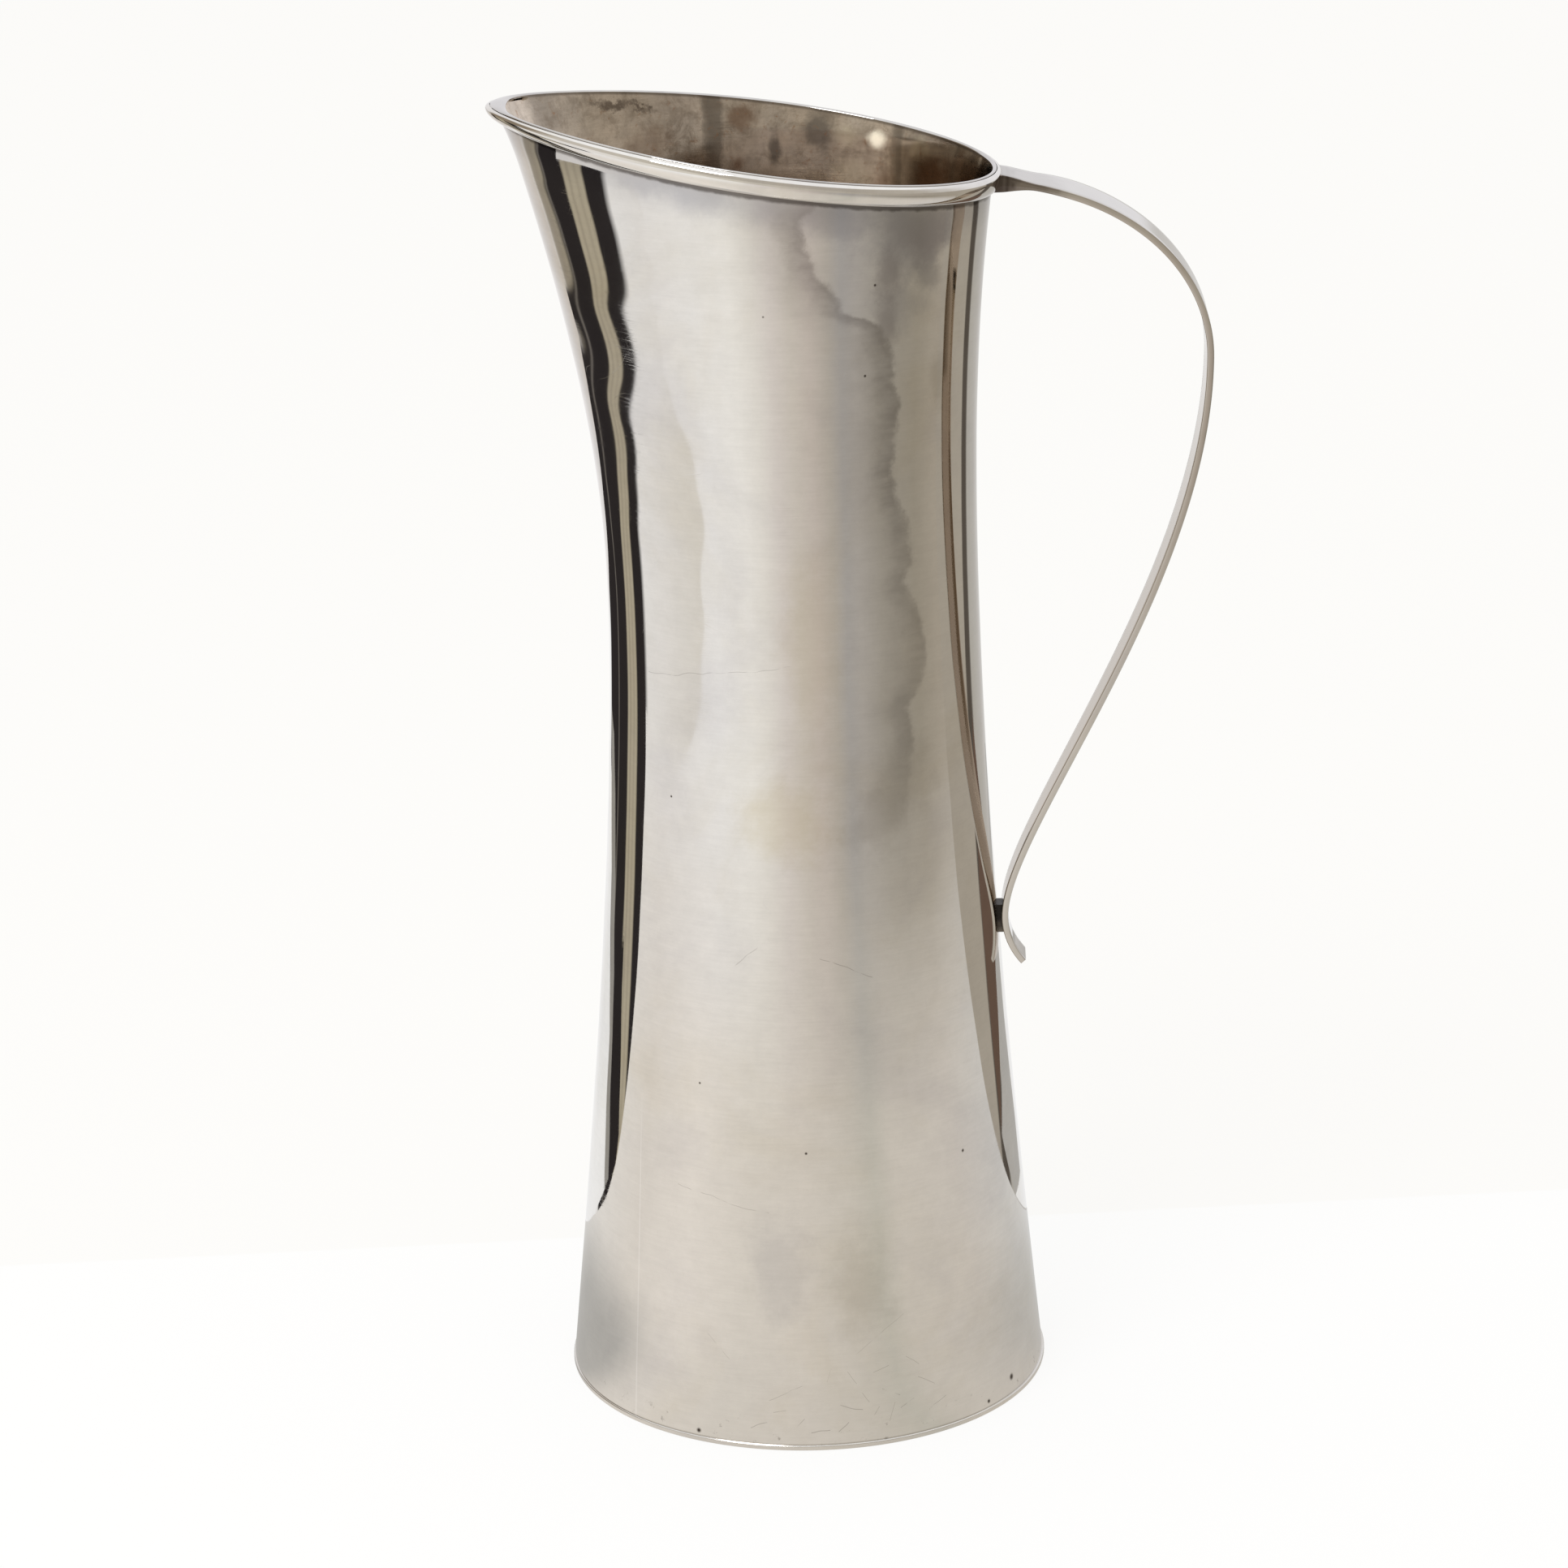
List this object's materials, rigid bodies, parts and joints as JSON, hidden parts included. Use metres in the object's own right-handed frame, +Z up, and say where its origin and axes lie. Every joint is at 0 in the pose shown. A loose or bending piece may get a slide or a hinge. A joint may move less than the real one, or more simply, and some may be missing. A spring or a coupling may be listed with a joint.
{
  "type": "silver jug",
  "caption": "Tall waisted silver jug with a flared spout, a half-oval rim wire, a soldered base plate and an open strap handle, for holding and pouring water.",
  "frame": {"origin": "centre of the flat underside of the base plate, on the body's axis", "axes": "+Z up along the body's axis, +X towards the handle, -X towards the spout, +Y completes the right-handed frame"},
  "size_m": [0.1602, 0.112, 0.3],
  "materials": {
    "body_silver": "polished silver, worn, with cloudy tarnish, hairline scratches and a few pits",
    "base_silver": "polished silver, scuffed where it stands",
    "rim_silver": "bright polished silver",
    "handle_silver": "polished silver with fine scratches",
    "pad_silver": "darkly tarnished silver solder"
  },
  "bodies": {
    "root": {"body_shell": "body_silver", "base_plate": "base_silver", "rim_wire": "rim_silver", "handle_strap": "handle_silver", "handle_pad": "pad_silver"}
  },
  "joints": []
}
